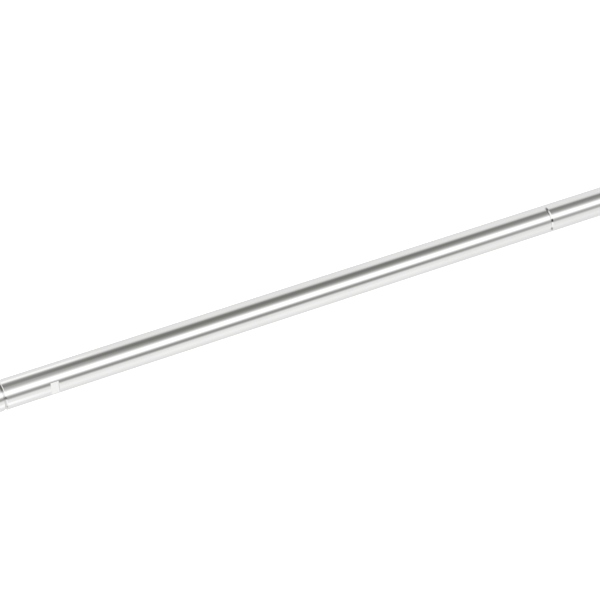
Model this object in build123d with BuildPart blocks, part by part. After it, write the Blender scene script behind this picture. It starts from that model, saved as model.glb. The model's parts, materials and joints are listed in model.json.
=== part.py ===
"""Window security bar: three polished tube sections, turned as one to jack a foot against the wall.

The bar lies along +X with +Z up, and the origin is the centre of the left foot's wall face. The
left foot holds a pivot pin that the bar turns on. The right foot holds a threaded spindle that runs
in a nut inside the bar's end, so turning the bar drives the right foot out. Threads are plain
cylinders of the thread's outside diameter. Sizes are in millimetres.
"""

import math
import os

from build123d import *

# Tube sections
bar_diameter = 25.0
tube_wall = 3.0
middle_length = 510.0
end_length = 255.0
joint_chamfer = 1.2  # two of these make the V groove that shows at each joint
bore_chamfer = 0.4

# Spanner flats on the middle section
flat_depth = 1.5
flat_length = 7.0
flat_from_joint = 37.8

# Joints: a plug in each tube end and one stud across
plug_length = 30.0
plug_chamfer = 0.5
stud_diameter = 12.0
stud_length = 50.0
stud_chamfer = 1.0

# Hardened core rods, free to roll inside the tubes
core_clearance = 2.5  # radial, between a rod and its tube
core_chamfer = 1.0
core_spigot_diameter = 8.0
core_spigot_length = 7.5
core_end_float = 0.5
bush_length = 8.0
bush_gap = 3.0  # from a bush to the end of a pin or spindle

# Feet
foot_diameter = 72.0
pad_thickness = 3.0
plate_thickness = 6.0
plate_fillet = 2.0
bolt_circle = 54.0
bolt_count = 4
bolt_first_angle = 45.0
bolt_hole_diameter = 6.5
bolt_head_diameter = 12.5
countersink_angle = 90.0
hub_diameter = 32.0
hub_length = 24.0
hub_chamfer = 3.0
register_diameter = 24.0
register_depth = 2.0
register_clearance = 0.05
socket_diameter = 12.0
socket_depth = 18.0
foot_screw_diameter = 8.0
foot_screw_head = 15.0
foot_screw_clearance = 0.3
foot_screw_key = 5.0
foot_screw_key_depth = 2.8
cross_pin_diameter = 5.0
cross_pin_from_face = 9.0
cross_pin_recess = 0.5

# Pivot at the left end
pivot_plug_length = 40.0
pivot_plug_wall = 2.45
pivot_head_length = 4.0
pivot_end_float = 0.3
thrust_washer_diameter = 24.0
thrust_washer_thickness = 2.0

# Jack at the right end
spindle_in_view = 24.0
travel_out = 60.0
travel_in = 10.0
jack_nut_length = 40.0
jack_nut_wall = 2.45
collar_length = 5.0
collar_spigot_diameter = 8.0
collar_stop_gap = 0.3  # left between the collar and the nut with the foot fully out
collar_screw_diameter = 5.0
collar_screw_length = 14.0
collar_screw_head = 11.8
collar_screw_head_length = 2.8
collar_screw_key = 3.0
collar_screw_key_depth = 1.6
lock_nut_flats = 22.0
lock_nut_thickness = 8.0
lock_nut_face_diameter = 20.9
lock_nut_chamfer_angle = 30.0
lock_washer_diameter = 24.0
lock_washer_thickness = 2.0

# Set screws that hold the end plugs in their tubes
set_screw_diameter = 5.0
set_screw_from_end = 20.0
set_screw_land = 0.85  # metal left in the plug under a set screw
set_screw_recess = 0.4
set_screw_key = 2.5
set_screw_key_depth = 2.0

# Clearances
running_clearance = 0.05  # radial, round a shaft that turns
head_clearance = 0.9  # radial, round the pivot's head and the stop collar inside a tube
washer_clearance = 0.3  # radial, in a washer's hole
face_gap = 0.1  # between faces that turn against each other

# Places along the bar, from the left wall face
foot_reach = pad_thickness + plate_thickness + hub_length
bar_start = foot_reach + thrust_washer_thickness + face_gap
left_joint = bar_start + end_length
right_joint = left_joint + middle_length
bar_end = right_joint + end_length
lock_washer_start = bar_end + face_gap
lock_nut_start = lock_washer_start + lock_washer_thickness + face_gap
right_hub_face = lock_nut_start + lock_nut_thickness + spindle_in_view
overall_length = right_hub_face + foot_reach
pivot_head_start = bar_start + pivot_plug_length + pivot_end_float
collar_end = bar_end - jack_nut_length - travel_out - collar_stop_gap
collar_start = collar_end - collar_length
spindle_reach = collar_start - collar_screw_head_length - travel_in

# Radii that follow from the tube
bar_radius = bar_diameter / 2
bore_radius = bar_radius - tube_wall
head_radius = bore_radius - head_clearance
core_radius = bore_radius - core_clearance
pivot_hole_radius = bore_radius - pivot_plug_wall
pivot_radius = pivot_hole_radius - running_clearance
thread_hole_radius = bore_radius - jack_nut_wall
spindle_radius = thread_hole_radius - running_clearance


def across(x, facing=1):
    """The plane across the bar at x, facing +X or, for facing=-1, -X."""
    return Plane(origin=(x, 0, 0), x_dir=(0, 1, 0), z_dir=(facing, 0, 0))


left_wall = across(0)
right_wall = across(overall_length, facing=-1)


def save(piece, name):
    """Labels a finished piece and writes its STEP file."""
    piece.part.label = name
    export_step(piece.part, f"parts/{name}.step")


def circles_at(piece, x, radius):
    """The piece's circular edges of this radius, centred on the bar's axis at x."""
    circles = piece.edges().filter_by(GeomType.CIRCLE)
    centre = Vector(x, 0, 0)
    return circles.filter_by(
        lambda edge: abs(edge.radius - radius) < 1e-4 and (edge.arc_center - centre).length < 1e-4
    )


def washer(start, thickness, outer_diameter, hole_radius):
    """A flat ring round the bar's axis."""
    with BuildPart() as made:
        with BuildSketch(across(start)):
            Circle(outer_diameter / 2)
            Circle(hole_radius, mode=Mode.SUBTRACT)
        extrude(amount=thickness)
    return made


def cut_set_screw_holes(x, plug_wall):
    """Cuts the two set-screw holes, from above and below, in the part being built."""
    for side in (1, -1):
        surface = Plane(origin=(x, 0, side * bar_radius), x_dir=(1, 0, 0), z_dir=(0, 0, side))
        with Locations(surface):
            Hole(set_screw_diameter / 2, depth=tube_wall + plug_wall - set_screw_land)


def tube(start, length):
    """A plain tube section with both ends chamfered outside and inside."""
    with BuildPart() as made:
        with BuildSketch(across(start)):
            Circle(bar_radius)
            Circle(bore_radius, mode=Mode.SUBTRACT)
        extrude(amount=length)
        for end in (start, start + length):
            chamfer(circles_at(made, end, bar_radius), joint_chamfer)
            chamfer(circles_at(made, end, bore_radius), bore_chamfer)
    return made


def end_tube(start, screws_at, plug_wall):
    """An end section, with holes for the set screws that hold its end plug."""
    with BuildPart() as made:
        add(tube(start, end_length))
        cut_set_screw_holes(screws_at, plug_wall)
    return made


def middle_tube():
    """The middle section, with two flats that take a spanner."""
    flat_centre = left_joint + flat_from_joint + flat_length / 2
    with BuildPart() as made:
        add(tube(left_joint, middle_length))
        for side in (1, -1):
            with Locations((flat_centre, side * bar_radius, 0)):
                Box(flat_length, 2 * flat_depth, bar_diameter, mode=Mode.SUBTRACT)
    return made


def plug(start, length, hole_radius):
    """A steel plug pressed into a tube and bored right through."""
    with BuildPart() as made:
        with BuildSketch(across(start)):
            Circle(bore_radius)
            Circle(hole_radius, mode=Mode.SUBTRACT)
        extrude(amount=length)
        for end in (start, start + length):
            chamfer(circles_at(made, end, bore_radius), plug_chamfer)
            chamfer(circles_at(made, end, hole_radius), plug_chamfer)
    return made


def end_plug(start, length, plug_wall, screws_at):
    """A plug at the bar's end, with holes that its set screws bite into."""
    with BuildPart() as made:
        add(plug(start, length, bore_radius - plug_wall))
        cut_set_screw_holes(screws_at, plug_wall)
    return made


def set_screw(x, side, plug_wall):
    """One set screw, above (side=1) or below (side=-1) the bar's axis."""
    foot_radius = bore_radius - plug_wall + set_screw_land
    length = bar_radius - set_screw_recess - foot_radius
    foot = Plane(origin=(x, 0, side * foot_radius), x_dir=(1, 0, 0), z_dir=(0, 0, side))
    with BuildPart() as made:
        with BuildSketch(foot):
            Circle(set_screw_diameter / 2)
        extrude(amount=length)
        with BuildSketch(foot.offset(length)):
            RegularPolygon(set_screw_key / 2, 6, major_radius=False)
        extrude(amount=-set_screw_key_depth, mode=Mode.SUBTRACT)
    return made


def joint_stud(joint):
    """The double-ended stud across one joint."""
    start = joint - stud_length / 2
    with BuildPart() as made:
        with BuildSketch(across(start)):
            Circle(stud_diameter / 2)
        extrude(amount=stud_length)
        for end in (start, start + stud_length):
            chamfer(circles_at(made, end, stud_diameter / 2), stud_chamfer)
    return made


def core_rod(first_bush_start, last_bush_start):
    """A hardened rod between two bushes, with a turned spigot in each."""
    start = first_bush_start + bush_length + core_end_float
    end = last_bush_start - core_end_float
    with BuildPart() as made:
        with BuildSketch(across(start)):
            Circle(core_radius)
        extrude(amount=end - start)
        for face in (start, end):
            chamfer(circles_at(made, face, core_radius), core_chamfer)
        with BuildSketch(across(start - core_spigot_length)):
            Circle(core_spigot_diameter / 2)
        extrude(amount=end - start + 2 * core_spigot_length)
    return made


def wall_pad(wall):
    """The rubber disc between a foot plate and the wall."""
    with BuildPart() as made:
        with BuildSketch(wall):
            Circle(foot_diameter / 2)
            with PolarLocations(bolt_circle / 2, bolt_count, start_angle=bolt_first_angle):
                Circle(bolt_hole_diameter / 2, mode=Mode.SUBTRACT)
        extrude(amount=pad_thickness)
    return made


def foot_plate(wall):
    """The round plate, countersunk in front for wall screws and behind for the hub's screw."""
    back = wall.offset(pad_thickness)
    front = back.offset(plate_thickness)
    facing_wall = Plane(origin=back.origin, x_dir=back.x_dir, z_dir=-back.z_dir)
    with BuildPart() as made:
        with BuildSketch(back):
            Circle(foot_diameter / 2)
        extrude(amount=plate_thickness)
        fillet(circles_at(made, front.origin.X, foot_diameter / 2), plate_fillet)
        with BuildSketch(front):
            Circle(register_diameter / 2 + register_clearance)
        extrude(amount=-register_depth, mode=Mode.SUBTRACT)
        with Locations(front):
            with PolarLocations(bolt_circle / 2, bolt_count, start_angle=bolt_first_angle):
                CounterSinkHole(
                    bolt_hole_diameter / 2,
                    bolt_head_diameter / 2,
                    counter_sink_angle=countersink_angle,
                )
        with Locations(facing_wall):
            CounterSinkHole(
                foot_screw_diameter / 2 + foot_screw_clearance,
                foot_screw_head / 2 + foot_screw_clearance,
                counter_sink_angle=countersink_angle,
            )
    return made


def foot_screw(wall):
    """The countersunk socket screw that holds a hub to its plate from behind."""
    back = wall.offset(pad_thickness)
    flare_radius = foot_screw_head / 2
    shank_radius = foot_screw_diameter / 2
    flare_length = (flare_radius - shank_radius) / math.tan(math.radians(countersink_angle / 2))
    with BuildPart() as made:
        with BuildSketch(back):
            Circle(shank_radius)
        extrude(amount=plate_thickness + hub_length - socket_depth)
        with Locations(back):
            Cone(flare_radius, shank_radius, flare_length, align=(Align.CENTER, Align.CENTER, Align.MIN))
        with BuildSketch(back):
            RegularPolygon(foot_screw_key / 2, 6, major_radius=False)
        extrude(amount=foot_screw_key_depth, mode=Mode.SUBTRACT)
    return made


def cross_pin_plane(wall):
    """The level plane through a hub's cross pin."""
    centre = wall.offset(foot_reach - cross_pin_from_face).origin
    return Plane(origin=centre, x_dir=(1, 0, 0), z_dir=(0, 0, 1))


def cut_cross_pin_hole(wall):
    """Cuts the cross pin's hole, from top to bottom, in the part being built."""
    with Locations(cross_pin_plane(wall)):
        Cylinder(cross_pin_diameter / 2, hub_diameter, mode=Mode.SUBTRACT)


def hub(wall):
    """A turned hub, with a register in its plate and a socket for the pin or the spindle."""
    plate_front = wall.offset(pad_thickness + plate_thickness)
    face = wall.offset(foot_reach)
    with BuildPart() as made:
        with BuildSketch(plate_front):
            Circle(hub_diameter / 2)
        extrude(amount=hub_length)
        chamfer(circles_at(made, face.origin.X, hub_diameter / 2), hub_chamfer)
        with BuildSketch(plate_front):
            Circle(register_diameter / 2)
        extrude(amount=-register_depth)
        with Locations(face):
            Hole(socket_diameter / 2, depth=socket_depth)
            Hole(foot_screw_diameter / 2, depth=hub_length + register_depth)
        cut_cross_pin_hole(wall)
    return made


def cross_pin(wall):
    """The pin through a hub and what its socket holds."""
    with BuildPart() as made:
        with BuildSketch(cross_pin_plane(wall)):
            Circle(cross_pin_diameter / 2)
        extrude(amount=hub_diameter / 2 - cross_pin_recess, both=True)
    return made


def pivot_pin():
    """The pin that the bar turns on, with a head behind the pivot plug."""
    head_end = pivot_head_start + pivot_head_length
    with BuildPart() as made:
        with BuildSketch(across(pivot_head_start)):
            Circle(head_radius)
        extrude(amount=pivot_head_length)
        for face in (pivot_head_start, head_end):
            chamfer(circles_at(made, face, head_radius), plug_chamfer)
        with BuildSketch(across(foot_reach)):
            Circle(pivot_radius)
        extrude(amount=pivot_head_start - foot_reach)
        with BuildSketch(across(foot_reach - socket_depth)):
            Circle(socket_diameter / 2)
        extrude(amount=socket_depth)
        cut_cross_pin_hole(left_wall)
    return made


def jack_spindle():
    """The threaded spindle, pinned in the right hub, with a spigot for its stop collar."""
    with BuildPart() as made:
        with BuildSketch(across(collar_end)):
            Circle(spindle_radius)
        extrude(amount=right_hub_face - collar_end)
        with BuildSketch(across(right_hub_face)):
            Circle(socket_diameter / 2)
        extrude(amount=socket_depth)
        with BuildSketch(across(collar_start)):
            Circle(collar_spigot_diameter / 2)
        extrude(amount=collar_length)
        with Locations(across(collar_start, facing=-1)):
            Hole(collar_screw_diameter / 2, depth=collar_screw_length)
        cut_cross_pin_hole(right_wall)
    return made


def collar_screw():
    """The flanged socket screw that holds the stop collar on the spindle."""
    head_start = collar_start - collar_screw_head_length
    with BuildPart() as made:
        with BuildSketch(across(head_start)):
            Circle(collar_screw_head / 2)
        extrude(amount=collar_screw_head_length)
        with BuildSketch(across(collar_start)):
            Circle(collar_screw_diameter / 2)
        extrude(amount=collar_screw_length)
        with BuildSketch(across(head_start)):
            RegularPolygon(collar_screw_key / 2, 6, major_radius=False)
        extrude(amount=collar_screw_key_depth, mode=Mode.SUBTRACT)
    return made


def lock_nut():
    """The hexagon nut that jams against the bar's end, with its corners turned off at both faces."""
    end = lock_nut_start + lock_nut_thickness
    corner_radius = lock_nut_flats / 2 / math.cos(math.pi / 6)
    face_radius = lock_nut_face_diameter / 2
    slope = math.tan(math.radians(lock_nut_chamfer_angle))
    setback = (corner_radius - face_radius) * slope
    with BuildPart() as made:
        with BuildSketch(across(lock_nut_start)):
            RegularPolygon(lock_nut_flats / 2, 6, major_radius=False)
            Circle(thread_hole_radius, mode=Mode.SUBTRACT)
        extrude(amount=lock_nut_thickness)
        with BuildSketch(Plane.XZ):
            with BuildLine():
                Polyline(
                    (lock_nut_start, 0),
                    (lock_nut_start, face_radius),
                    (lock_nut_start + setback, corner_radius),
                    (end - setback, corner_radius),
                    (end, face_radius),
                    (end, 0),
                    close=True,
                )
            make_face()
        revolve(axis=Axis.X, mode=Mode.INTERSECT)
    return made


os.makedirs("parts", exist_ok=True)

# Left foot
save(wall_pad(left_wall), "left_wall_pad")
save(foot_plate(left_wall), "left_foot_plate")
save(foot_screw(left_wall), "left_foot_screw")
save(hub(left_wall), "left_hub")
save(cross_pin(left_wall), "left_cross_pin")
save(pivot_pin(), "pivot_pin")
pivot_washer = washer(
    foot_reach,
    thrust_washer_thickness,
    thrust_washer_diameter,
    pivot_radius + washer_clearance,
)
save(pivot_washer, "thrust_washer")

# Bar: tubes, end plugs and set screws
left_screws = bar_start + set_screw_from_end
right_screws = bar_end - set_screw_from_end
jack_nut_start = bar_end - jack_nut_length
save(end_tube(bar_start, left_screws, pivot_plug_wall), "left_tube")
save(middle_tube(), "middle_tube")
save(end_tube(right_joint, right_screws, jack_nut_wall), "right_tube")
save(end_plug(bar_start, pivot_plug_length, pivot_plug_wall, left_screws), "pivot_plug")
save(end_plug(jack_nut_start, jack_nut_length, jack_nut_wall, right_screws), "jack_nut")
bar_ends = (("left", left_screws, pivot_plug_wall), ("right", right_screws, jack_nut_wall))
for end_name, screws_at, plug_wall in bar_ends:
    save(set_screw(screws_at, 1, plug_wall), f"{end_name}_set_screw_top")
    save(set_screw(screws_at, -1, plug_wall), f"{end_name}_set_screw_bottom")

# Bar: the two joints
for joint_name, joint in (("left", left_joint), ("right", right_joint)):
    save(plug(joint - plug_length, plug_length, stud_diameter / 2), f"{joint_name}_joint_plug_a")
    save(plug(joint, plug_length, stud_diameter / 2), f"{joint_name}_joint_plug_b")
    save(joint_stud(joint), f"{joint_name}_joint_stud")

# Core rods, each rolling in two bushes
bush_starts = {
    "left": (pivot_head_start + pivot_head_length + bush_gap, left_joint - plug_length - bush_length),
    "middle": (left_joint + plug_length, right_joint - plug_length - bush_length),
    "right": (right_joint + plug_length, spindle_reach - bush_gap - bush_length),
}
bush_hole_radius = core_spigot_diameter / 2 + running_clearance
for section, (first, last) in bush_starts.items():
    save(washer(first, bush_length, 2 * bore_radius, bush_hole_radius), f"{section}_core_bush_a")
    save(washer(last, bush_length, 2 * bore_radius, bush_hole_radius), f"{section}_core_bush_b")
    save(core_rod(first, last), f"{section}_core_rod")

# Right foot and its jack
save(wall_pad(right_wall), "right_wall_pad")
save(foot_plate(right_wall), "right_foot_plate")
save(foot_screw(right_wall), "right_foot_screw")
save(hub(right_wall), "right_hub")
save(cross_pin(right_wall), "right_cross_pin")
save(jack_spindle(), "jack_spindle")
stop_collar = washer(collar_start, collar_length, 2 * head_radius, collar_spigot_diameter / 2)
save(stop_collar, "stop_collar")
save(collar_screw(), "collar_screw")

# Lock nut and its washer
nut_washer = washer(
    lock_washer_start,
    lock_washer_thickness,
    lock_washer_diameter,
    spindle_radius + washer_clearance,
)
save(nut_washer, "lock_washer")
save(lock_nut(), "lock_nut")
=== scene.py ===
import json
import math

import bpy
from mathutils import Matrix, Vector


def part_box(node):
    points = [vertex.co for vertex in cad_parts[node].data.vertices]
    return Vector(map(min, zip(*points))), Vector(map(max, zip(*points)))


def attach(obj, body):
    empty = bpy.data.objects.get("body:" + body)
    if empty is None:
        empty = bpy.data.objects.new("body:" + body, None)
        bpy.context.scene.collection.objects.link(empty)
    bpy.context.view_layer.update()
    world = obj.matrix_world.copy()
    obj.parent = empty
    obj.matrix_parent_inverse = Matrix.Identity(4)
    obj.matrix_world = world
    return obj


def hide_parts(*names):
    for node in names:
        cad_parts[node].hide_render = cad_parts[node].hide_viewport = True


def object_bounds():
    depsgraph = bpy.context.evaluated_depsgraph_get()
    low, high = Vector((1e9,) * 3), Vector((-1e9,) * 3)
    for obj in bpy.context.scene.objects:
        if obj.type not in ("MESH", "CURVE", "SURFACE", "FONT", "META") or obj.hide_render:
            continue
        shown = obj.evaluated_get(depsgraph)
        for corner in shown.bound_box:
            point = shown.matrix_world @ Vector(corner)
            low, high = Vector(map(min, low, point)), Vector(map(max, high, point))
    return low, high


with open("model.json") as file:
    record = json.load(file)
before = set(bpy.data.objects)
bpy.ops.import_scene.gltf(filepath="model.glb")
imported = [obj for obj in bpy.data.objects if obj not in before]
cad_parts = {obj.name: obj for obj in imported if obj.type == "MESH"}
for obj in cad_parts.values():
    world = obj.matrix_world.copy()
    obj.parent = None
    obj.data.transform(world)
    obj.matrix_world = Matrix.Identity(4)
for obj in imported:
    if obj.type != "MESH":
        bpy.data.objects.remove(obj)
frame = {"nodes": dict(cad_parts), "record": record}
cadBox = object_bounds()
nodes = frame["nodes"]
mm = 0.001
nearEnough = 0.01 * mm
print("frame loaded:", len(nodes), "nodes")


def deselectAll():
    if bpy.context.object and bpy.context.object.mode != "OBJECT":
        bpy.ops.object.mode_set(mode="OBJECT")
    bpy.ops.object.select_all(action="DESELECT")


def makeActive(piece):
    deselectAll()
    bpy.context.view_layer.objects.active = piece
    piece.select_set(True)


def editMode(piece):
    makeActive(piece)
    bpy.ops.object.mode_set(mode="EDIT")
    bpy.ops.mesh.select_mode(type="VERT")


def selectWhere(piece, test, kind="vertices"):
    # picks elements in code, by their place; leaves the piece in edit mode
    bpy.ops.mesh.select_all(action="DESELECT")
    bpy.ops.object.mode_set(mode="OBJECT")
    for element in getattr(piece.data, kind):
        element.select = test(element)
    bpy.ops.object.mode_set(mode="EDIT")


def nameNew(name):
    piece = bpy.context.object
    piece.name = name
    piece.data.name = name
    return piece


def drawOutline(name, corners, filled=True):
    # pulls one vertex from corner to corner, (x, radius), in the plane y = 0 above the bar's axis
    deselectAll()
    bpy.ops.mesh.primitive_plane_add(size=1)
    piece = nameNew(name)
    editMode(piece)
    bpy.ops.mesh.select_all(action="SELECT")
    bpy.ops.mesh.merge(type="CENTER")
    place = Vector((0, 0, 0))
    for number, (x, radius) in enumerate(corners):
        step = Vector((x, 0, radius)) - place
        if number == 0:
            bpy.ops.transform.translate(value=step)
        else:
            bpy.ops.mesh.extrude_region_move(TRANSFORM_OT_translate={"value": step})
        place += step
    if filled:
        bpy.ops.mesh.select_all(action="SELECT")
        bpy.ops.mesh.edge_face_add()
    return piece


def roundCorner(piece, x, radius, offset, steps):
    corner = Vector((x, 0, radius))
    selectWhere(piece, lambda vertex: (vertex.co - corner).length < nearEnough)
    bpy.ops.mesh.bevel(offset=offset, affect="VERTICES", segments=steps)


def spinRoundBar(steps):
    # empties the outline, spins its edges right round the bar's axis and closes the seam
    bpy.ops.mesh.select_all(action="SELECT")
    bpy.ops.mesh.delete(type="ONLY_FACE")
    bpy.ops.mesh.select_all(action="SELECT")
    bpy.ops.mesh.spin(steps=steps, angle=2 * math.pi, center=(0, 0, 0), axis=(1, 0, 0))
    bpy.ops.mesh.select_all(action="SELECT")
    bpy.ops.mesh.remove_doubles(threshold=1e-6)
    bpy.ops.mesh.delete_loose()
    bpy.ops.mesh.select_all(action="SELECT")
    bpy.ops.mesh.normals_make_consistent(inside=False)
    bpy.ops.object.mode_set(mode="OBJECT")


def turnPiece(name, corners, steps=96, breakSteps=3):
    # a lathe-turned piece: each corner is (x, radius) or (x, radius, size of its rounding)
    piece = drawOutline(name, [corner[:2] for corner in corners])
    for x, radius, *size in corners:
        if size:
            roundCorner(piece, x, radius, size[0], breakSteps)
    spinRoundBar(steps)
    return piece


def combine(piece, other, operation):
    # joins the other piece in, or cuts it out, and throws it away
    makeActive(piece)
    change = piece.modifiers.new("change", "BOOLEAN")
    change.object = other
    change.operation = operation
    change.solver = "EXACT"
    change.show_viewport = False  # worked out once, as it is applied
    bpy.ops.object.modifier_apply(modifier="change")
    bpy.data.objects.remove(other)


def cutRoundHole(piece, centre, radius, depth, steps=48):
    # a plain hole straight down or up, along Z
    deselectAll()
    bpy.ops.mesh.primitive_cylinder_add(vertices=steps, radius=radius, depth=depth, location=centre)
    combine(piece, bpy.context.object, "DIFFERENCE")


def finishPiece(piece, body, slotName, *stoodFor, smoothAngle=20):
    makeActive(piece)
    bpy.ops.object.transform_apply(location=True, rotation=True, scale=True)
    bpy.ops.object.shade_smooth_by_angle(angle=math.radians(smoothAngle))
    piece.data.materials.clear()
    piece.data.materials.append(finishes[slotName])
    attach(piece, body)
    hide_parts(*stoodFor)


def newGroup(name, inputs, outputs):
    group = bpy.data.node_groups.new(name, "ShaderNodeTree")
    for label, kind, value in inputs:
        socket = group.interface.new_socket(name=label, in_out="INPUT", socket_type=kind)
        socket.default_value = value
    for label, kind in outputs:
        group.interface.new_socket(name=label, in_out="OUTPUT", socket_type=kind)
    return group, group.nodes.new("NodeGroupInput"), group.nodes.new("NodeGroupOutput")


def mathNode(tree, operation, first, second=None):
    node = tree.nodes.new("ShaderNodeMath")
    node.operation = operation
    for place, value in ((0, first), (1, second)):
        if value is None:
            continue
        if isinstance(value, (int, float)):
            node.inputs[place].default_value = value
        else:
            tree.links.new(value, node.inputs[place])
    return node.outputs[0]


def mapNode(tree, value, low, high, toLow, toHigh, smooth=True):
    node = tree.nodes.new("ShaderNodeMapRange")
    node.interpolation_type = "SMOOTHSTEP" if smooth else "LINEAR"
    tree.links.new(value, node.inputs["Value"])
    node.inputs["From Min"].default_value = low
    node.inputs["From Max"].default_value = high
    node.inputs["To Min"].default_value = toLow
    node.inputs["To Max"].default_value = toHigh
    return node.outputs[0]


def noiseNode(tree, vector, scale, detail=2.0, roughness=0.5):
    node = tree.nodes.new("ShaderNodeTexNoise")
    node.inputs["Scale"].default_value = scale
    node.inputs["Detail"].default_value = detail
    node.inputs["Roughness"].default_value = roughness
    tree.links.new(vector, node.inputs["Vector"])
    return node.outputs["Fac"]


wear = {
    "smudgeFrom": (0.42, 0.68),  # where a smudge starts and is full, in the noise
    "fullSmudge": 0.6,
    "mottleScale": 9.0,
    "edgeTurn": (0.99, 0.85),  # how far the rounded normal has turned, none to full
    "edgeSamples": 6,
}


def makeTurnedGrain():
    # fine tool rings round the bar's axis: they change along the bar and outwards, hardly round it
    group, start, end = newGroup(
        "turnedGrain",
        [("Rings", "NodeSocketFloat", 9000.0), ("Length", "NodeSocketFloat", 60.0)],
        [("Height", "NodeSocketFloat")],
    )
    coords = group.nodes.new("ShaderNodeTexCoord")
    parts = group.nodes.new("ShaderNodeSeparateXYZ")
    group.links.new(coords.outputs["Object"], parts.inputs[0])
    x, y, z = parts.outputs
    sides = [mathNode(group, "MULTIPLY", side, side) for side in (y, z)]
    outwards = mathNode(group, "ADD", x, mathNode(group, "SQRT", mathNode(group, "ADD", *sides)))
    vector = group.nodes.new("ShaderNodeCombineXYZ")
    scaled = ((outwards, "Rings"), (y, "Length"), (z, "Length"))
    for place, (value, scale) in enumerate(scaled):
        group.links.new(mathNode(group, "MULTIPLY", value, start.outputs[scale]), vector.inputs[place])
    noise = noiseNode(group, vector.outputs[0], scale=1.0, detail=2.0, roughness=0.6)
    group.links.new(noise, end.inputs["Height"])
    return group


def makeHandling():
    # faint smudges left by hands and packing, and a finer mottle inside them
    group, start, end = newGroup(
        "handling",
        [("Size", "NodeSocketFloat", 14.0)],
        [("Mask", "NodeSocketFloat")],
    )
    coords = group.nodes.new("ShaderNodeTexCoord")
    scaled = group.nodes.new("ShaderNodeVectorMath")
    scaled.operation = "SCALE"
    group.links.new(coords.outputs["Object"], scaled.inputs[0])
    group.links.new(start.outputs["Size"], scaled.inputs["Scale"])
    noise = noiseNode(group, scaled.outputs[0], scale=1.0, detail=3.0, roughness=0.55)
    broad = mapNode(group, noise, *wear["smudgeFrom"], 0.0, 1.0)
    fine = noiseNode(group, scaled.outputs[0], scale=wear["mottleScale"], detail=4.0, roughness=0.6)
    group.links.new(mathNode(group, "MULTIPLY", broad, fine), end.inputs["Mask"])
    return group


def makeWornEdges():
    # finds outside edges by how far a rounded normal turns from the true one
    group, start, end = newGroup(
        "wornEdges",
        [("Width", "NodeSocketFloat", 0.0004)],
        [("Mask", "NodeSocketFloat")],
    )
    rounded = group.nodes.new("ShaderNodeBevel")
    rounded.samples = wear["edgeSamples"]
    group.links.new(start.outputs["Width"], rounded.inputs["Radius"])
    geometry = group.nodes.new("ShaderNodeNewGeometry")
    turn = group.nodes.new("ShaderNodeVectorMath")
    turn.operation = "DOT_PRODUCT"
    group.links.new(rounded.outputs[0], turn.inputs[0])
    group.links.new(geometry.outputs["Normal"], turn.inputs[1])
    mask = mapNode(group, turn.outputs["Value"], *wear["edgeTurn"], 0.0, 1.0)
    group.links.new(mask, end.inputs["Mask"])
    return group


turnedGrain = makeTurnedGrain()
handling = makeHandling()
wornEdges = makeWornEdges()


def placeGroup(tree, group, **values):
    node = tree.nodes.new("ShaderNodeGroup")
    node.node_tree = group
    for label, value in values.items():
        node.inputs[label].default_value = value
    return node.outputs[0]


def mixColours(tree, factor, first, second):
    node = tree.nodes.new("ShaderNodeMix")
    node.data_type = "RGBA"
    tree.links.new(factor, node.inputs["Factor"])
    node.inputs["A"].default_value = (*first, 1)
    node.inputs["B"].default_value = (*second, 1)
    return node.outputs["Result"]


def newMaterial(name, metallic=0.0):
    material = bpy.data.materials.new(name)
    material.use_nodes = True
    tree = material.node_tree
    shader = tree.nodes["Principled BSDF"]
    shader.inputs["Metallic"].default_value = metallic
    return material, tree, shader


def bumpInto(tree, shader, height, strength, distance):
    bump = tree.nodes.new("ShaderNodeBump")
    bump.inputs["Strength"].default_value = strength
    bump.inputs["Distance"].default_value = distance
    tree.links.new(height, bump.inputs["Height"])
    tree.links.new(bump.outputs["Normal"], shader.inputs["Normal"])


polish = {
    "colour": (0.80, 0.80, 0.795),
    "smudged": (0.775, 0.775, 0.77),
    "roughness": (0.085, 0.12),  # clean, smudged
    "smudgeSize": 22.0,
    "rings": 5200.0,
    "ringDepth": 0.0000012,
    "ringStrength": 0.25,
}


def makePolishedSteel():
    material, tree, shader = newMaterial("polishedSteel", 1.0)
    smudge = placeGroup(tree, handling, Size=polish["smudgeSize"])
    colour = mixColours(tree, smudge, polish["colour"], polish["smudged"])
    tree.links.new(colour, shader.inputs["Base Color"])
    rough = mapNode(tree, smudge, 0.0, wear["fullSmudge"], *polish["roughness"])
    tree.links.new(rough, shader.inputs["Roughness"])
    grain = placeGroup(tree, turnedGrain, Rings=polish["rings"])
    bumpInto(tree, shader, grain, polish["ringStrength"], polish["ringDepth"])
    return material


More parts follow.
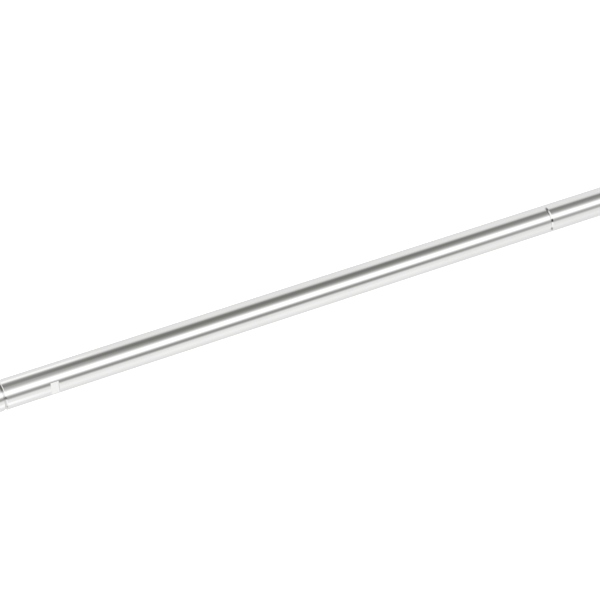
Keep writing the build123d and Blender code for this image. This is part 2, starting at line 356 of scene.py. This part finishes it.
# turned metals: colour and roughness come in pairs, as made and rubbed bright at the edges
turned = {
    "smudgeSize": 30.0,
    "smudgeRoughness": 0.08,
    "grainFrom": (0.3, 0.7),
    "grainSpread": 0.15,  # share of the roughness that the tool rings add or take
    "grainStrength": 0.5,
}
metals = {
    "satin_steel": {"name": "satinSteel", "colour": (0.60, 0.60, 0.61), "worn": (0.74, 0.74, 0.75),
                    "roughness": (0.30, 0.18), "rings": 4200.0, "ringDepth": 0.000006, "edge": 0.0004},
    "turned_steel": {"name": "turnedSteel", "colour": (0.58, 0.58, 0.59), "worn": (0.72, 0.72, 0.73),
                     "roughness": (0.24, 0.16), "rings": 3600.0, "ringDepth": 0.000006, "edge": 0.0004},
    "bright_steel": {"name": "brightZinc", "colour": (0.66, 0.67, 0.69), "worn": (0.80, 0.80, 0.80),
                     "roughness": (0.20, 0.14), "rings": 3000.0, "ringDepth": 0.000004, "edge": 0.0004},
    "black_steel": {"name": "blackSteel", "colour": (0.045, 0.045, 0.050), "worn": (0.32, 0.31, 0.30),
                    "roughness": (0.38, 0.25), "rings": 3000.0, "ringDepth": 0.000004, "edge": 0.0002},
    "hardened_steel": {"name": "groundSteel", "colour": (0.36, 0.36, 0.38), "worn": (0.55, 0.55, 0.56),
                       "roughness": (0.22, 0.16), "rings": 6000.0, "ringDepth": 0.000003, "edge": 0.0004},
    "bronze": {"name": "bearingBronze", "colour": (0.60, 0.38, 0.17), "worn": (0.76, 0.54, 0.28),
               "roughness": (0.28, 0.18), "rings": 3600.0, "ringDepth": 0.000005, "edge": 0.0004},
}


def makeTurnedMetal(metal):
    material, tree, shader = newMaterial(metal["name"], 1.0)
    asMade, rubbedBright = metal["roughness"]
    rubbed = placeGroup(tree, wornEdges, Width=metal["edge"])
    grain = placeGroup(tree, turnedGrain, Rings=metal["rings"])
    smudge = placeGroup(tree, handling, Size=turned["smudgeSize"])
    colour = mixColours(tree, rubbed, metal["colour"], metal["worn"])
    tree.links.new(colour, shader.inputs["Base Color"])
    low, high = asMade * (1 - turned["grainSpread"]), asMade * (1 + turned["grainSpread"])
    ringed = mapNode(tree, grain, *turned["grainFrom"], low, high)
    soiled = mathNode(tree, "ADD", ringed, mathNode(tree, "MULTIPLY", smudge, turned["smudgeRoughness"]))
    step = mathNode(tree, "MULTIPLY", rubbed, rubbedBright - asMade)
    tree.links.new(mathNode(tree, "ADD", soiled, step), shader.inputs["Roughness"])
    bumpInto(tree, shader, grain, turned["grainStrength"], metal["ringDepth"])
    return material


rubber = {
    "colour": (0.028, 0.028, 0.029),
    "dusty": (0.060, 0.059, 0.057),
    "roughness": (0.55, 0.75),  # clean, dusty
    "dustSize": 40.0,
    "grainScale": 2600.0,
    "grainDetail": 3.0,
    "grainStrength": 0.4,
    "grainDepth": 0.00008,
}


def makeRubber():
    material, tree, shader = newMaterial("padRubber")
    dust = placeGroup(tree, handling, Size=rubber["dustSize"])
    colour = mixColours(tree, dust, rubber["colour"], rubber["dusty"])
    tree.links.new(colour, shader.inputs["Base Color"])
    rough = mapNode(tree, dust, 0.0, wear["fullSmudge"], *rubber["roughness"])
    tree.links.new(rough, shader.inputs["Roughness"])
    coords = tree.nodes.new("ShaderNodeTexCoord")
    grain = noiseNode(tree, coords.outputs["Object"], rubber["grainScale"], rubber["grainDetail"])
    bumpInto(tree, shader, grain, rubber["grainStrength"], rubber["grainDepth"])
    return material


nylon = {
    "colour": (0.80, 0.79, 0.73),
    "mottled": (0.72, 0.71, 0.65),
    "roughness": (0.38, 0.5),
    "mottleSize": 60.0,
    "lightInside": 0.1,
    "lightDepth": 0.002,
}


def makeNylon():
    material, tree, shader = newMaterial("bushNylon")
    mottle = placeGroup(tree, handling, Size=nylon["mottleSize"])
    colour = mixColours(tree, mottle, nylon["colour"], nylon["mottled"])
    tree.links.new(colour, shader.inputs["Base Color"])
    rough = mapNode(tree, mottle, 0.0, wear["fullSmudge"], *nylon["roughness"])
    tree.links.new(rough, shader.inputs["Roughness"])
    shader.inputs["Subsurface Weight"].default_value = nylon["lightInside"]
    shader.inputs["Subsurface Scale"].default_value = nylon["lightDepth"]
    return material


finishes = {"polished_tube": makePolishedSteel(), "nylon": makeNylon(), "rubber": makeRubber()}
for slotName, metal in metals.items():
    finishes[slotName] = makeTurnedMetal(metal)
slotOf = {entry["node"]: entry["material_slot"] for entry in frame["record"]["subparts"]}
for nodeName, part in nodes.items():
    part.data.materials.clear()
    part.data.materials.append(finishes[slotOf[nodeName]])
print("finishes made:", len(finishes))


tube = {
    "wall": 3.0 * mm,
    "steps": 256,
    "endChamfer": 1.2 * mm,
    "boreChamfer": 0.4 * mm,
    "flatsWidth": 22.0 * mm,
    "flatFromJoint": 37.8 * mm,
    "flatLength": 7.0 * mm,
    "screwFromEnd": 20.0 * mm,
    "screwDiameter": 5.0 * mm,
    "screwSteps": 32,
}
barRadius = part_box("left_tube")[1].z


def makeTube(name, nodeName):
    low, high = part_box(nodeName)
    outer, inner = barRadius, barRadius - tube["wall"]
    corners = [(low.x, inner, tube["boreChamfer"]), (high.x, inner, tube["boreChamfer"]),
               (high.x, outer, tube["endChamfer"]), (low.x, outer, tube["endChamfer"])]
    return turnPiece(name, corners, tube["steps"], breakSteps=1)


def cutFlats(piece, jointX):
    depth = barRadius - tube["flatsWidth"] / 2
    for side in (1, -1):
        deselectAll()
        centreX = jointX + tube["flatFromJoint"] + tube["flatLength"] / 2
        centreY = side * (tube["flatsWidth"] / 2 + depth)
        bpy.ops.mesh.primitive_cube_add(size=1, location=(centreX, centreY, 0))
        cutter = bpy.context.object
        cutter.scale = (tube["flatLength"], 2 * depth, 2 * barRadius)
        bpy.ops.object.transform_apply(location=True, rotation=True, scale=True)
        combine(piece, cutter, "DIFFERENCE")


def cutScrewHoles(piece, x):
    for side in (1, -1):
        centre = (x, 0, side * barRadius)
        cutRoundHole(piece, centre, tube["screwDiameter"] / 2, 2 * tube["wall"], tube["screwSteps"])


leftTube = makeTube("leftTube", "left_tube")
cutScrewHoles(leftTube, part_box("left_tube")[0].x + tube["screwFromEnd"])
middleTube = makeTube("middleTube", "middle_tube")
cutFlats(middleTube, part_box("middle_tube")[0].x)
rightTube = makeTube("rightTube", "right_tube")
cutScrewHoles(rightTube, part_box("right_tube")[1].x - tube["screwFromEnd"])
finishPiece(leftTube, "bar", "polished_tube", "left_tube")
finishPiece(middleTube, "bar", "polished_tube", "middle_tube")
finishPiece(rightTube, "bar", "polished_tube", "right_tube")
print("tubes made")


foot = {
    "boltCircle": 54.0 * mm,
    "boltCount": 4,
    "boltHole": 6.5 * mm,
    "boltHead": 12.5 * mm,
    "firstBolt": 45.0,  # degrees
    "boltSteps": 40,
    "rimRounding": 1.1 * mm,
    "rings": (12.0 * mm, 18.0 * mm, 33.0 * mm),
    "ringWidth": 1.6 * mm,
    "ringDepth": 0.9 * mm,
    "ringTaper": 0.25,  # share of a groove's width that each of its sides slopes over
    "plateRounding": 2.0 * mm,
    "plateBreak": 0.3 * mm,
    "register": 24.0 * mm,
    "registerDepth": 2.0 * mm,
    "registerGap": 0.05 * mm,
    "screwDiameter": 8.0 * mm,
    "screwHead": 15.0 * mm,
    "screwGap": 0.3 * mm,
    "hubChamfer": 3.0 * mm,
    "hubBreak": 0.25 * mm,
    "socket": 12.0 * mm,
    "socketDepth": 18.0 * mm,
    "pin": 5.0 * mm,
    "pinFromFace": 9.0 * mm,
    "pinRecess": 0.5 * mm,
    "pinWall": 0.9 * mm,
    "pinChamfer": 0.35 * mm,
    "pinOpening": 26.0,  # degrees of slot
    "pinSteps": 44,
    "cutReach": 6.0 * mm,
    "steps": 144,
}


def cutBoltHoles(piece, faceX, inward, sunk):
    # faceX is the face that a bolt's head goes in from, and inward is the way in, +1 or -1
    farX, nearX = faceX + inward * foot["cutReach"], faceX - inward * foot["cutReach"]
    holeRadius, headRadius = foot["boltHole"] / 2, foot["boltHead"] / 2
    corners = [(nearX, 0), (farX, 0), (farX, holeRadius), (nearX, holeRadius)]
    if sunk:
        sunkX = faceX + inward * (headRadius - holeRadius)
        corners[3:] = [(sunkX, holeRadius), (nearX, headRadius + foot["cutReach"])]
    cutter = turnPiece("cutter", corners, foot["boltSteps"])
    cutter.location.y = foot["boltCircle"] / 2
    makeActive(cutter)
    bpy.ops.object.transform_apply(location=True, rotation=False, scale=False)
    cutter.rotation_euler.x = math.radians(foot["firstBolt"])
    quarter = 2 * math.pi / foot["boltCount"]
    copies = [cutter]
    for number in range(1, foot["boltCount"]):
        copy = cutter.copy()
        copy.data = cutter.data.copy()
        copy.rotation_euler.x += number * quarter
        bpy.context.scene.collection.objects.link(copy)
        copies.append(copy)
    makeActive(cutter)
    for copy in copies:
        copy.select_set(True)
    bpy.ops.object.join()
    combine(piece, cutter, "DIFFERENCE")


def makePad(name, wallX, outward, nodeName):
    # moulded rubber: a rounded rim, and grooves on the wall side that let it grip
    low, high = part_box(nodeName)
    thickness, radius = high.x - low.x, high.z
    corners = [(wallX, 0)]
    for ring in foot["rings"]:
        half, deepX = foot["ringWidth"] / 2, wallX + outward * foot["ringDepth"]
        taper = foot["ringTaper"] * foot["ringWidth"]
        corners += [(wallX, ring - half), (deepX, ring - half + taper),
                    (deepX, ring + half - taper), (wallX, ring + half)]
    frontX = wallX + outward * thickness
    corners += [(wallX, radius, foot["rimRounding"]), (frontX, radius, foot["rimRounding"]), (frontX, 0)]
    piece = turnPiece(name, corners, foot["steps"], breakSteps=4)
    cutBoltHoles(piece, frontX, -outward, sunk=False)
    return piece


def makePlate(name, wallX, outward, nodeName):
    low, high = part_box(nodeName)
    backX, frontX = (low.x, high.x) if outward > 0 else (high.x, low.x)
    screwRadius = foot["screwDiameter"] / 2 + foot["screwGap"]
    headRadius = foot["screwHead"] / 2 + foot["screwGap"]
    seatRadius = foot["register"] / 2 + foot["registerGap"]
    seatX = frontX - outward * foot["registerDepth"]
    sunkX = backX + outward * (headRadius - screwRadius)
    corners = [
        (backX, headRadius), (sunkX, screwRadius), (seatX, screwRadius),
        (seatX, seatRadius), (frontX, seatRadius, foot["plateBreak"]),
        (frontX, high.z, foot["plateRounding"]), (backX, high.z, foot["plateBreak"]),
    ]
    piece = turnPiece(name, corners, foot["steps"], breakSteps=5)
    cutBoltHoles(piece, frontX, -outward, sunk=True)
    return piece


def makeHub(name, outward, nodeName):
    low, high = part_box(nodeName)
    rootX, faceX = (low.x, high.x) if outward > 0 else (high.x, low.x)
    seatX = rootX + outward * foot["registerDepth"]
    floorX = faceX - outward * foot["socketDepth"]
    screwRadius, socketRadius = foot["screwDiameter"] / 2, foot["socket"] / 2
    slope = foot["hubChamfer"]
    corners = [
        (rootX, screwRadius), (floorX, screwRadius), (floorX, socketRadius), (faceX, socketRadius),
        (faceX, high.z - slope, foot["hubBreak"]), (faceX - outward * slope, high.z, foot["hubBreak"]),
        (seatX, high.z, foot["hubBreak"]), (seatX, foot["register"] / 2), (rootX, foot["register"] / 2),
    ]
    piece = turnPiece(name, corners, foot["steps"])
    pinX = faceX - outward * foot["pinFromFace"]
    cutRoundHole(piece, (pinX, 0, 0), foot["pin"] / 2, 3 * high.z)
    return piece


def makeRollPin(name, nodeName):
    # a spring pin rolled from strip, with an open slot down one side
    low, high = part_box(nodeName)
    radius, wall, length = foot["pin"] / 2, foot["pinWall"], high.z - low.z
    deselectAll()
    bpy.ops.mesh.primitive_plane_add(size=1, location=(radius - wall / 2, 0, 0),
                                     rotation=(math.pi / 2, 0, 0))
    piece = nameNew(name)
    piece.scale = (wall, length, 1)
    bpy.ops.object.transform_apply(location=True, rotation=True, scale=True)
    editMode(piece)
    selectWhere(piece, lambda vertex: vertex.co.x > radius - wall / 2)
    bpy.ops.mesh.bevel(offset=foot["pinChamfer"], affect="VERTICES", segments=2)
    bpy.ops.mesh.select_all(action="SELECT")
    turn = math.radians(360 - foot["pinOpening"])
    bpy.ops.mesh.spin(steps=foot["pinSteps"], angle=turn, center=(0, 0, 0), axis=(0, 0, 1))
    bpy.ops.mesh.select_all(action="SELECT")
    bpy.ops.mesh.normals_make_consistent(inside=False)
    bpy.ops.object.mode_set(mode="OBJECT")
    piece.location = ((low.x + high.x) / 2, 0, 0)
    return piece


def makeFoot(side, outward):
    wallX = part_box(side + "_wall_pad")[0 if outward > 0 else 1].x
    body = side + "_foot"
    pad = makePad(side + "Pad", wallX, outward, side + "_wall_pad")
    finishPiece(pad, body, "rubber", side + "_wall_pad", smoothAngle=30)
    plate = makePlate(side + "Plate", wallX, outward, side + "_foot_plate")
    finishPiece(plate, body, "satin_steel", side + "_foot_plate")
    hub = makeHub(side + "Hub", outward, side + "_hub")
    finishPiece(hub, body, "satin_steel", side + "_hub", smoothAngle=30)
    rollPin = makeRollPin(side + "RollPin", side + "_cross_pin")
    finishPiece(rollPin, body, "bright_steel", side + "_cross_pin", smoothAngle=30)


makeFoot("left", 1)
makeFoot("right", -1)
print("feet made")


washer = {
    "break": 0.3 * mm,
    "holeGap": 0.3 * mm,
    "steps": 128,
}


def makeWasher(name, nodeName, holeRadius):
    low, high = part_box(nodeName)
    edge = washer["break"]
    corners = [(low.x, holeRadius), (high.x, holeRadius), (high.x, high.z, edge), (low.x, high.z, edge)]
    return turnPiece(name, corners, washer["steps"])


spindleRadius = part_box("jack_spindle")[1].z
thrustWasher = makeWasher("thrustWasher", "thrust_washer", spindleRadius + washer["holeGap"])
finishPiece(thrustWasher, "left_foot", "bronze", "thrust_washer", smoothAngle=30)
lockWasher = makeWasher("lockWasher", "lock_washer", spindleRadius + washer["holeGap"])
finishPiece(lockWasher, "lock_washer", "bright_steel", "lock_washer", smoothAngle=30)
print("washers made")


spindle = {
    "pitch": 4.0 * mm,
    "threadDepth": 2.25 * mm,
    "crest": 1.46 * mm,
    "flankAngle": 15.0,
    "crestBreak": 0.12 * mm,
    "leadIn": 1.37,  # pitches wound before the sawn end
    "steps": 60,
    "reliefLength": 3.0 * mm,
    "relief": 9.2 * mm,
    "shoulder": 1.2 * mm,
    "core": 8.4 * mm,
    "coreOverlap": 1.0 * mm,  # how far the plain ends run into the thread
    "spigot": 8.0 * mm,
    "spigotLength": 5.0 * mm,
    "endBreak": 0.3 * mm,
    "screw": 5.0 * mm,
    "screwDepth": 14.0 * mm,
    "shank": 12.0 * mm,
    "shankLength": 18.0 * mm,
}


def makeThread(start, end):
    # one pitch of the trapezoidal outline, wound round the bar's axis and sawn off square at the ends
    pitch, crestRadius = spindle["pitch"], spindleRadius
    rootRadius = crestRadius - spindle["threadDepth"]
    run = spindle["threadDepth"] * math.tan(math.radians(spindle["flankAngle"]))
    crest = spindle["crest"]
    turns = math.ceil((end - start) / pitch) + 3
    firstX = start - spindle["leadIn"] * pitch
    corners = [(firstX, crestRadius), (firstX + crest, crestRadius), (firstX + crest + run, rootRadius),
               (firstX + pitch - run, rootRadius), (firstX + pitch, crestRadius)]
    piece = drawOutline("jackSpindle", corners, filled=False)
    roundCorner(piece, *corners[1], spindle["crestBreak"], 1)
    bpy.ops.object.mode_set(mode="OBJECT")
    winding = piece.modifiers.new("winding", "SCREW")
    winding.axis = "X"
    winding.angle = 2 * math.pi
    winding.screw_offset = pitch
    winding.iterations = turns
    winding.steps = spindle["steps"]
    winding.render_steps = spindle["steps"]
    winding.use_merge_vertices = True
    winding.merge_threshold = 1e-6
    bpy.ops.object.modifier_apply(modifier="winding")
    editMode(piece)
    for x, direction in ((start, -1), (end, 1)):
        bpy.ops.mesh.select_all(action="SELECT")
        bpy.ops.mesh.bisect(plane_co=(x, 0, 0), plane_no=(direction, 0, 0), use_fill=True,
                            clear_outer=True)
    bpy.ops.mesh.select_all(action="SELECT")
    bpy.ops.mesh.remove_doubles(threshold=1e-6)
    bpy.ops.mesh.normals_make_consistent(inside=False)
    bpy.ops.object.mode_set(mode="OBJECT")
    return piece


def makeSpindle():
    low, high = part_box("jack_spindle")
    hubFaceX = high.x - spindle["shankLength"]
    collarX = low.x + spindle["spigotLength"]
    coreRadius, reliefRadius = spindle["core"] / 2, spindle["relief"] / 2
    shoulderX = hubFaceX - spindle["shoulder"]
    threadEnd = shoulderX - spindle["reliefLength"]
    piece = makeThread(collarX, threadEnd)
    holeEnd = low.x + spindle["screwDepth"]
    coreStart, coreEnd = collarX + spindle["coreOverlap"], threadEnd - spindle["coreOverlap"]
    edge = spindle["endBreak"]
    corners = [
        (holeEnd, 0), (holeEnd, spindle["screw"] / 2), (low.x, spindle["screw"] / 2),
        (low.x, spindle["spigot"] / 2, edge), (coreStart, spindle["spigot"] / 2),
        (coreStart, coreRadius), (coreEnd, coreRadius), (coreEnd, reliefRadius),
        (shoulderX, reliefRadius), (shoulderX, spindleRadius, edge), (hubFaceX, spindleRadius),
        (hubFaceX, spindle["shank"] / 2), (high.x, spindle["shank"] / 2, edge), (high.x, 0),
    ]
    combine(piece, turnPiece("core", corners, steps=spindle["steps"]), "UNION")
    pinX = hubFaceX + foot["pinFromFace"]
    cutRoundHole(piece, (pinX, 0, 0), foot["pin"] / 2, 4 * spindleRadius)
    return piece


finishPiece(makeSpindle(), "right_foot", "turned_steel", "jack_spindle", smoothAngle=25)
print("spindle made")


nut = {
    "flats": 22.0 * mm,
    "face": 20.9 * mm,
    "chamferAngle": 30.0,
    "chamferReach": 1.1,  # how far past its corners the turned blank reaches
    "holeGap": 0.05 * mm,
    "holeChamfer": 0.8 * mm,
    "edgeBreak": 0.12 * mm,
    "blankSteps": 96,
    "drillSteps": 72,
}


def makeNut():
    # a hexagon with its corners turned off at 30 degrees on both faces, and a countersunk hole
    low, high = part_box("lock_nut")
    middleX, thickness = (low.x + high.x) / 2, high.x - low.x
    cornerRadius = nut["flats"] / 2 / math.cos(math.radians(30))
    deselectAll()
    bpy.ops.mesh.primitive_cylinder_add(vertices=6, radius=cornerRadius, depth=thickness,
                                        location=(middleX, 0, 0), rotation=(0, math.pi / 2, 0))
    piece = nameNew("lockNut")
    bpy.ops.object.transform_apply(location=True, rotation=True, scale=True)
    reach = cornerRadius * nut["chamferReach"]
    slope = (reach - nut["face"] / 2) * math.tan(math.radians(nut["chamferAngle"]))
    blank = turnPiece("blank", [
        (low.x, 0), (low.x, nut["face"] / 2), (low.x + slope, reach), (high.x - slope, reach),
        (high.x, nut["face"] / 2), (high.x, 0),
    ], nut["blankSteps"])
    combine(piece, blank, "INTERSECT")
    hole, sunk = spindleRadius + nut["holeGap"], nut["holeChamfer"]
    drill = turnPiece("drill", [
        (low.x - sunk, 0), (low.x - sunk, hole + 2 * sunk), (low.x + sunk, hole), (high.x - sunk, hole),
        (high.x + sunk, hole + 2 * sunk), (high.x + sunk, 0),
    ], nut["drillSteps"])
    combine(piece, drill, "DIFFERENCE")
    makeActive(piece)
    soften = piece.modifiers.new("soften", "BEVEL")
    soften.width = nut["edgeBreak"]
    soften.segments = 2
    soften.angle_limit = math.radians(25)
    bpy.ops.object.modifier_apply(modifier="soften")
    return piece


finishPiece(makeNut(), "lock_nut", "bright_steel", "lock_nut", smoothAngle=25)
print("lock nut made")


studio = {
    "floorDrop": 0.25,
    "floorSize": 60.0,
    "floorCentre": 0.5,
    "floorShade": 0.9,
    "brightest": 1.5,
    "bands": [  # degrees from the front horizon, over the top, and brightness
        (-150, 0.86), (-115, 0.87), (-97, 0.92), (-80, 0.94), (-62, 1.02), (-45, 1.10), (-36, 1.09),
        (-20, 1.02), (-9, 0.95), (-2, 0.62), (4, 0.35), (14, 0.35), (20.5, 0.62), (27, 1.10), (33, 1.36),
        (50, 1.40), (56, 1.18), (63, 0.80), (70, 0.50), (78, 0.34), (86, 0.26), (94, 0.22), (104, 0.225),
        (111, 0.34), (119, 0.66), (126, 0.88), (136, 0.96), (152, 0.96), (168, 0.92),
    ],
    "dark": 0.5,  # bands under this brightness are tinted
    "darkTint": (1.0, 0.995, 0.95),
    "backTilt": 33.0,  # degrees that the bands behind the bar lean for each unit along X
    "backTiltFrom": (95.0, 112.0),
    "backTiltCentre": 0.345,
    "frontTilt": 22.0,  # the same for the low front bands, towards the right only
    "frontTiltFrom": (24.0, 40.0),
    "frontTiltStart": 0.42,
}

# soft cards round the bar: the stretch along X and the angles that they fill, how softly they end,
# how bright they are, and the share of the bands that they cover
cards = {
    "leftHaze": {"along": (0.0, 0.20), "soft": 0.04, "shade": 0.97, "cover": 0.10},
    "rightHaze": {"along": (0.50, 0.62), "soft": 0.10, "shade": 0.97, "cover": 0.08},
    "leftGlow": {"along": (0.0, 0.235), "soft": 0.04, "angle": (60.0, 84.0), "fade": 12.0,
                 "shade": 1.3, "cover": 0.14},
    "leftStreak": {"along": (0.0, 0.235), "soft": 0.008, "angle": (131.0, 146.0), "fade": 6.0,
                   "shade": 1.3, "cover": 0.65},
    "lowStreak": {"along": (0.0, 0.206), "soft": 0.006, "angle": (-51.0, -35.0), "fade": 6.0,
                  "shade": 1.35, "cover": 0.6},
    "leftWindow": {"along": (-1.1, -0.90), "soft": 0.25, "shade": 1.25, "cover": 1.0},
    "leftFlag": {"along": (-1.1, -0.78), "soft": 0.05, "angle": (-42.0, 0.0), "fade": 6.0,
                 "lean": 270.0, "leanCentre": -0.935, "shade": 0.04, "cover": 1.0},
    "backFlag": {"along": (-0.70, -0.45), "soft": 0.06, "angle": (104.0, 128.0), "fade": 10.0,
                 "shade": 0.18, "cover": 0.8},
    "lowFlag": {"along": (-0.56, -0.42), "soft": 0.06, "angle": (-90.0, -62.0), "fade": 8.0,
                "shade": 0.2, "cover": 0.7},
    "rightLow": {"along": (0.48, 0.80), "soft": 0.08, "angle": (-80.0, -12.0), "fade": 12.0,
                 "shade": 0.75, "cover": 0.16},
    "rightLift": {"along": (0.52, 0.80), "soft": 0.1, "angle": (2.0, 22.0), "fade": 7.0,
                  "shade": 1.0, "cover": 0.13},
    "rightWall": {"along": (0.90, 1.1), "soft": 0.3, "shade": 0.12, "cover": 1.0},
}


def makeFloor():
    deselectAll()
    place = (studio["floorCentre"], 0, cadBox[0][2] - studio["floorDrop"])
    bpy.ops.mesh.primitive_plane_add(size=studio["floorSize"], location=place)
    floor = nameNew("floor")
    material, tree, shader = newMaterial("paleFloor")
    shade = studio["floorShade"]
    shader.inputs["Base Color"].default_value = (shade, shade, shade, 1)
    shader.inputs["Roughness"].default_value = 1.0
    shader.inputs["Emission Color"].default_value = (1, 1, 1, 1)
    shader.inputs["Emission Strength"].default_value = 1.0
    floor.data.materials.append(material)
    floor.visible_glossy = False


def windowMask(tree, value, low, high, soft):
    # 1 between low and high, falling to 0 over the soft stretch outside each
    rising = mapNode(tree, value, low - soft, low, 0.0, 1.0)
    falling = mapNode(tree, value, high, high + soft, 1.0, 0.0)
    return mathNode(tree, "MULTIPLY", rising, falling)


def hangCard(tree, colour, x, angle, card):
    mask = windowMask(tree, x, *card["along"], card["soft"])
    if "lean" in card:
        fromCentre = mathNode(tree, "SUBTRACT", x, card["leanCentre"])
        angle = mathNode(tree, "SUBTRACT", angle, mathNode(tree, "MULTIPLY", fromCentre, card["lean"]))
    if "angle" in card:
        mask = mathNode(tree, "MULTIPLY", mask, windowMask(tree, angle, *card["angle"], card["fade"]))
    shade = card["shade"] / studio["brightest"]
    mixed = tree.nodes.new("ShaderNodeMix")
    mixed.data_type = "RGBA"
    tree.links.new(mathNode(tree, "MULTIPLY", mask, card["cover"]), mixed.inputs["Factor"])
    tree.links.new(colour, mixed.inputs["A"])
    mixed.inputs["B"].default_value = (shade, shade, shade, 1)
    return mixed.outputs["Result"]


def makeBands(tree, angle):
    ramp = tree.nodes.new("ShaderNodeValToRGB")
    elements = ramp.color_ramp.elements
    elements.remove(elements[1])
    for number, (degrees, brightness) in enumerate(studio["bands"]):
        place = (degrees + 180) / 360
        element = elements[0] if number == 0 else elements.new(place)
        element.position = place
        tints = studio["darkTint"] if brightness < studio["dark"] else (1, 1, 1)
        element.color = (*[brightness / studio["brightest"] * tint for tint in tints], 1)
    tree.links.new(mapNode(tree, angle, -180, 180, 0.0, 1.0, smooth=False), ramp.inputs[0])
    return ramp.outputs[0]


def makeWorld():
    world = bpy.data.worlds.new("studioLight")
    bpy.context.scene.world = world
    world.use_nodes = True
    tree = world.node_tree
    tree.nodes.clear()
    coords = tree.nodes.new("ShaderNodeTexCoord")
    parts = tree.nodes.new("ShaderNodeSeparateXYZ")
    tree.links.new(coords.outputs["Generated"], parts.inputs[0])
    x, y, z = parts.outputs
    turn = mathNode(tree, "ARCTAN2", z, mathNode(tree, "MULTIPLY", y, -1.0))
    angle = mathNode(tree, "MULTIPLY", turn, math.degrees(1))
    behind = mapNode(tree, angle, *studio["backTiltFrom"], 0.0, studio["backTilt"])
    tilt = mathNode(tree, "MULTIPLY", behind, mathNode(tree, "SUBTRACT", x, studio["backTiltCentre"]))
    inFront = mapNode(tree, angle, *studio["frontTiltFrom"], studio["frontTilt"], 0.0)
    toRight = mathNode(tree, "MAXIMUM", mathNode(tree, "SUBTRACT", x, studio["frontTiltStart"]), 0.0)
    dip = mathNode(tree, "MULTIPLY", inFront, toRight)
    colour = makeBands(tree, mathNode(tree, "SUBTRACT", mathNode(tree, "ADD", angle, tilt), dip))
    for card in cards.values():
        colour = hangCard(tree, colour, x, angle, card)
    light = tree.nodes.new("ShaderNodeBackground")
    tree.links.new(colour, light.inputs["Color"])
    light.inputs["Strength"].default_value = studio["brightest"]
    plain = tree.nodes.new("ShaderNodeBackground")
    plain.inputs["Color"].default_value = (1, 1, 1, 1)
    plain.inputs["Strength"].default_value = 1.0
    path = tree.nodes.new("ShaderNodeLightPath")
    chosen = tree.nodes.new("ShaderNodeMixShader")
    tree.links.new(path.outputs["Is Camera Ray"], chosen.inputs[0])
    tree.links.new(light.outputs[0], chosen.inputs[1])
    tree.links.new(plain.outputs[0], chosen.inputs[2])
    output = tree.nodes.new("ShaderNodeOutputWorld")
    tree.links.new(chosen.outputs[0], output.inputs[0])


makeFloor()
makeWorld()
bpy.context.scene.view_settings.view_transform = "Standard"
print("studio made")


view = {
    "azimuth": -27.26,
    "elevation": 38.99,
    "distance": 1510.4 * mm,
    "sideways": 9.2 * mm,
    "upwards": 1.84 * mm,
    "lens": 108.0,
    "sensor": 36.0,
    "reach": 200.0,
}


def makeCamera():
    low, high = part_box("middle_tube")
    target = (low + high) / 2
    turnedBy, tippedBy = math.radians(view["azimuth"]), math.radians(view["elevation"])
    right = Vector((math.cos(turnedBy), math.sin(turnedBy), 0))
    level = Vector((-math.sin(turnedBy), math.cos(turnedBy), 0))
    forward = level * math.cos(tippedBy) - Vector((0, 0, 1)) * math.sin(tippedBy)
    up = right.cross(forward)
    data = bpy.data.cameras.new("camera")
    data.lens = view["lens"]
    data.sensor_width = view["sensor"]
    data.clip_end = view["reach"]
    camera = bpy.data.objects.new("camera", data)
    bpy.context.scene.collection.objects.link(camera)
    shifted = target + right * view["sideways"] + up * view["upwards"]
    camera.location = shifted - forward * view["distance"]
    camera.rotation_euler = forward.to_track_quat("-Z", "Y").to_euler()
    bpy.context.scene.camera = camera


makeCamera()
print("camera placed")
